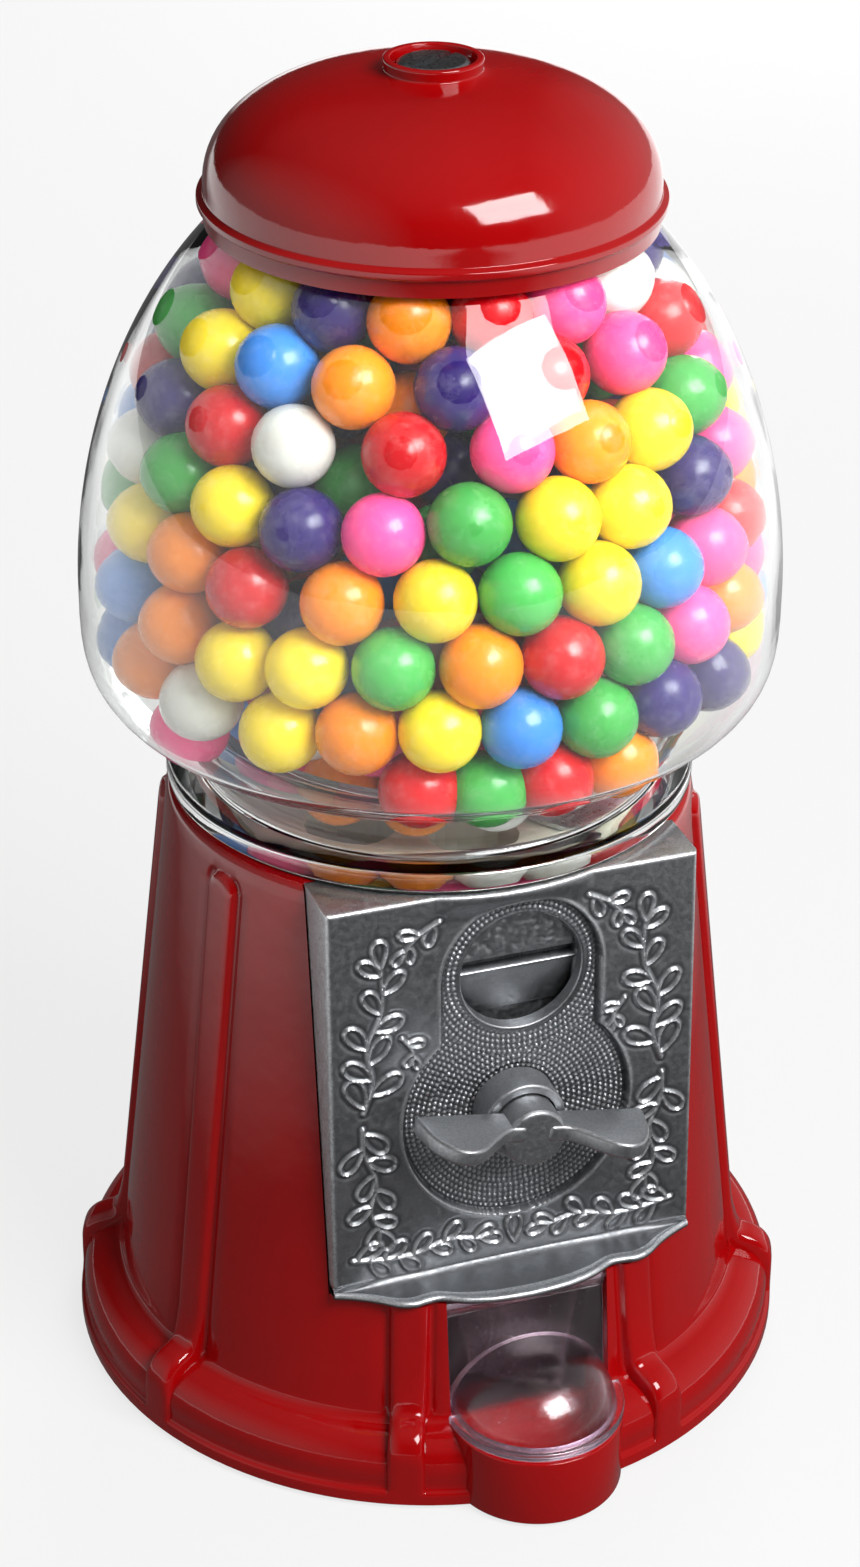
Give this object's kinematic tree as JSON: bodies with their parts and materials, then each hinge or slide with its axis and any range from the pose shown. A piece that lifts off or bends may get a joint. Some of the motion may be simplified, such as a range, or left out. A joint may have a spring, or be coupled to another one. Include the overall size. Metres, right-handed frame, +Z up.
{
  "type": "gumball machine",
  "caption": "Countertop gumball machine: glass globe of gumballs on a tapered cast body with a coin plate, a butterfly handle and a flap door.",
  "frame": {"origin": "centre of the machine's footprint, on the surface that it stands on", "axes": "+Z up along the globe's axis, -Y towards the coin plate and the door, +X to the right seen from the front"},
  "size_m": [0.1522, 0.1615, 0.28],
  "materials": {
    "red_enamel": "gloss",
    "cast_zinc": "satin cast",
    "steel": "plated",
    "clear_glass": "clear",
    "clear_plastic": "clear moulded",
    "rubber": "matt",
    "black_plastic": "moulded",
    "nylon": "moulded",
    "candy": "waxed sugar shell"
  },
  "bodies": {
    "frame": {"body": "red_enamel", "front_plate": "cast_zinc", "plate_screw_1": "steel", "plate_screw_2": "steel", "plate_screw_3": "steel", "plate_screw_4": "steel", "coin_ramp": "cast_zinc", "pawl_pin": "steel", "pawl_spring": "steel", "gear_bracket": "steel", "bracket_screw_1": "steel", "bracket_screw_2": "steel", "idler_axle": "steel", "handle_collar": "cast_zinc", "ball_guard": "steel", "wheel_nut": "steel", "drop_tube": "black_plastic", "chute_trough": "black_plastic", "door_pin": "steel", "globe": "clear_glass", "globe_gasket": "rubber", "gumball_load": "candy", "centre_rod": "steel", "bottom_plate": "steel", "coin_plug": "rubber", "rod_washer": "steel", "rod_nut": "steel", "foot_1": "rubber", "foot_2": "rubber", "foot_3": "rubber", "foot_4": "rubber"},
    "handle": {"handle": "cast_zinc", "handle_shaft": "steel", "shaft_clip": "steel", "drive_pinion": "nylon", "coin_wheel": "cast_zinc"},
    "idler": {"idler_gear": "nylon"},
    "wheel": {"gumball_wheel": "nylon"},
    "pawl": {"pawl": "steel"},
    "door": {"chute_door": "clear_plastic"},
    "lid": {"lid": "red_enamel", "lid_gasket": "rubber"},
    "lid_nut": {"lid_nut": "steel"}
  },
  "joints": [
    {"name": "handle_turn", "type": "hinge", "parent": "frame", "child": "handle", "pos_m": [0, 0.00445, 0.0808], "axis": [0, 1, 0], "continuous": true},
    {"name": "idler_spin", "type": "hinge", "parent": "frame", "child": "idler", "pos_m": [0, 0.00445, 0.10238], "axis": [0, 1, 0], "continuous": true},
    {"name": "wheel_spin", "type": "hinge", "parent": "frame", "child": "wheel", "pos_m": [0, 0.00445, 0.125], "axis": [0, 0, 1], "continuous": true},
    {"name": "pawl_lift", "type": "hinge", "parent": "frame", "child": "pawl", "pos_m": [0.0258, 0.00445, 0.0948], "axis": [0, -1, 0], "range_deg": [0, 12], "stiffness_Nm_per_rad": 0.005, "springref_deg": -8.59},
    {"name": "door_swing", "type": "hinge", "parent": "frame", "child": "door", "pos_m": [0, -0.05395, 0.04], "axis": [-1, 0, 0], "range_deg": [0, 50]},
    {"name": "lid_lift", "type": "slide", "parent": "frame", "child": "lid", "axis": [0, 0, 1], "range_m": [0, 0.04]},
    {"name": "lid_nut_turn", "type": "hinge", "parent": "lid", "child": "lid_nut", "pos_m": [0, 0.00445, 0.275], "axis": [0, 0, 1], "continuous": true}
  ],
  "couplings": [
    {"joint": "idler_spin", "follows": "handle_turn", "ratio": -0.36364},
    {"joint": "wheel_spin", "follows": "handle_turn", "ratio": -0.14286}
  ]
}
